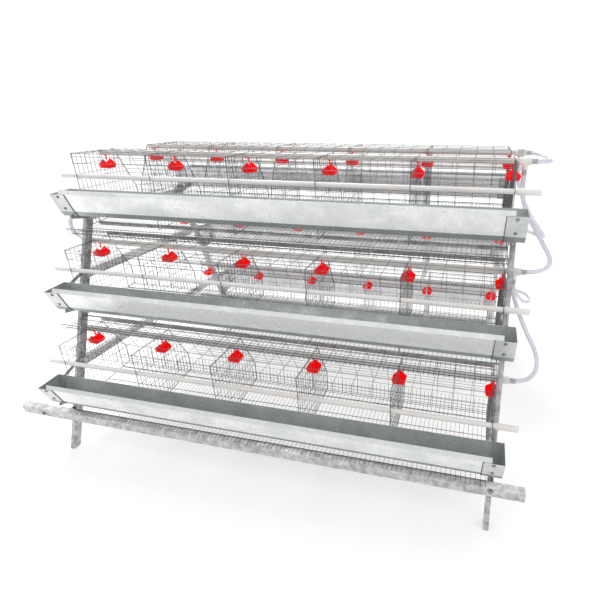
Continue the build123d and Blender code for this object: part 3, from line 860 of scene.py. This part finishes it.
bolts = {"head": 0.0048, "rise": 0.0042, "washer": 0.0075, "capPlace": 0.988, "capShares": (0.15, 0.83),
         "plate": 0.9815, "gauge": 0.0025, "tieDrops": {1: 0.559, 2: 0.968},
         "bracket": ((0.045, -0.264), (0.047, -0.286)), "bigger": (1.3, 1.4),
         "beamSpots": ((-1.133, 0.171), (0.9946, 0.184)), "beamFront": 0.772, "beamWasher": 0.0125,
         "washerRise": 0.0012, "headStart": 0.0014, "crown": 0.7, "sides": 12}


def boltPart(head, rise, washer):
    crown = bolts["crown"]
    return turned([(0, 0), (washer, 0), (washer, bolts["washerRise"]), (head, bolts["headStart"]),
                   (head, rise * crown), (head * crown, rise), (0, rise)], bolts["sides"])


spots, big = [], []
for side, tier in rows:
    place = rowMatrix(side, tier)
    (lowY, lowZ), (highY, highZ) = trough["line"][3:5]  # the outer slope of the trough
    out = Vector((0, lowZ - highZ, highY - lowY)).normalized()
    for end in (-1, 1):
        for share in bolts["capShares"]:
            y, z = highY + share * (lowY - highY), highZ + share * (lowZ - highZ)
            spot = Vector((end * bolts["capPlace"], y, z)) + out * (endCap["gap"] + trough["sheet"] / 2)
            spots.append(place @ facing(spot, out))
        for i, (y, z) in enumerate(bolts["bracket"]):
            onTie = tier == 0 and i == 1  # the top tie lies over the plate
            inside = bolts["plate"] - (bolts["gauge"] if onTie else 0)
            spots.append(place @ facing((end * inside, y, z), (-end, 0, 0)))
        if tier in bolts["tieDrops"]:
            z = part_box("top_net_front_top")[1][2] - bolts["tieDrops"][tier]
            y = leanAt(z) if side == "rear" else -leanAt(z)
            spots.append(facing((rowMiddle + end * bolts["plate"], y, z), (-end, 0, 0)))
for x, z in bolts["beamSpots"]:
    big.append(facing((rowMiddle + x, -bolts["beamFront"], z), (0, -1, 0)))
    big.append(facing((rowMiddle + x, bolts["beamFront"], z), (0, 1, 0)))
bm = bmesh.new()
stamp(bm, boltPart(bolts["head"], bolts["rise"], bolts["washer"]), spots)
wide, tall = bolts["bigger"]
stamp(bm, boltPart(bolts["head"] * wide, bolts["rise"] * tall, bolts["beamWasher"]), big)
addPiece("bolts_of_frame", bm, boltZinc, smooth=True)

clip = {"left": 0.010, "right": 0.040, "play": 0.0001, "gauge": 0.0015, "rim": 0.0004, "tab": 0.0135,
        "bolt": (0.033, 0.0045)}
clipY, clipZ = pipeSpot("rear", 0)
clipX = socketStart("rear", 0)
bm = bmesh.new()
clipLeft, clipRight = clipX + clip["left"], clipX + clip["right"]
band = ringProfile(waterLine["socket"] + clip["play"], waterLine["socket"] + clip["gauge"],
                   clip["right"] - clip["left"], clip["rim"])
stamp(bm, turned(band, waterLine["sides"], True), [facing((clipLeft, clipY, clipZ), (1, 0, 0))])
front = clipY - waterLine["socket"] - clip["gauge"]
block(bm, (clipLeft, front, clipZ - clip["tab"]), (clipRight, front + clip["gauge"], clipZ + clip["tab"]))
x, z = clip["bolt"]
place = facing((clipX + x, front, clipZ + z), (0, -1, 0))
stamp(bm, boltPart(bolts["head"], bolts["rise"], bolts["washer"]), [place])
bmesh.ops.recalc_face_normals(bm, faces=bm.faces)
addPiece("clip_of_rear_line", bm, capZinc, smooth=True)
print("bolts and clip set")


# Floor and light: a white room, dim at eye level in front of the part

studio = {
    "floor": 60.0, "rough": 0.9, "glow": 0.20,
    "fade": (-0.7, 13.0),  # painted shade: the paper's colour is darker where the lamp's pool is strongest
    "paper": [(0.0, 0.90), (0.051, 0.78), (0.12, 0.67), (0.20, 0.64), (0.33, 0.72), (0.49, 0.82),
              (1.0, 0.88)],
    "dim": (0.28, 0.30, 0.293), "rise": 0.38, "behind": (-0.45, 0.1), "strength": 1.05,
}
keyLight = {"place": (-1.4, 2.6, 4.8), "target": (0, 0, 0.4), "size": 3.0, "power": 190}


def makeFloor():
    bm = bmesh.new()
    bmesh.ops.create_grid(bm, x_segments=1, y_segments=1, size=studio["floor"])
    mesh = bpy.data.meshes.new("floor")
    bm.to_mesh(mesh)
    bm.free()
    paper, tree, shader = newFinish("paper")
    back = ranged(tree, axes(tree, "Object")["Y"], studio["fade"])
    tree.links.new(ramp(tree, back, studio["paper"]), shader.inputs["Base Color"])
    shader.inputs["Roughness"].default_value = studio["rough"]
    shader.inputs["Emission Color"].default_value = white
    shader.inputs["Emission Strength"].default_value = studio["glow"]
    mesh.materials.append(paper)
    floor = bpy.data.objects.new("floor", mesh)
    scene.collection.objects.link(floor)


def blended(tree, share, first):
    # From the first colour to white
    node = tree.nodes.new("ShaderNodeMixRGB")
    tree.links.new(share, node.inputs["Fac"])
    tree.links.new(first, node.inputs["Color1"])
    node.inputs["Color2"].default_value = white
    return node.outputs["Color"]


def makeSky():
    sky = bpy.data.worlds.new("studio")
    sky.use_nodes = True
    tree = sky.node_tree
    way = axes(tree, "Generated")
    height = ramp(tree, way["Z"], [(0.0, studio["dim"]), (studio["rise"], 1.0)])
    room = blended(tree, ranged(tree, way["Y"], studio["behind"]), height)
    path = tree.nodes.new("ShaderNodeLightPath")
    seen = blended(tree, path.outputs["Is Camera Ray"], room)
    tree.links.new(seen, tree.nodes["Background"].inputs["Color"])
    tree.nodes["Background"].inputs["Strength"].default_value = studio["strength"]
    scene.world = sky


def hangLamp():
    lamp = bpy.data.lights.new("keyLight", "AREA")
    lamp.shape = "DISK"
    lamp.size = keyLight["size"]
    lamp.energy = keyLight["power"]
    light = bpy.data.objects.new("keyLight", lamp)
    light.location = keyLight["place"]
    aim = Vector(keyLight["target"]) - Vector(keyLight["place"])
    light.rotation_euler = aim.to_track_quat("-Z", "Y").to_euler()
    scene.collection.objects.link(light)


makeFloor()
makeSky()
hangLamp()
print("studio lit")
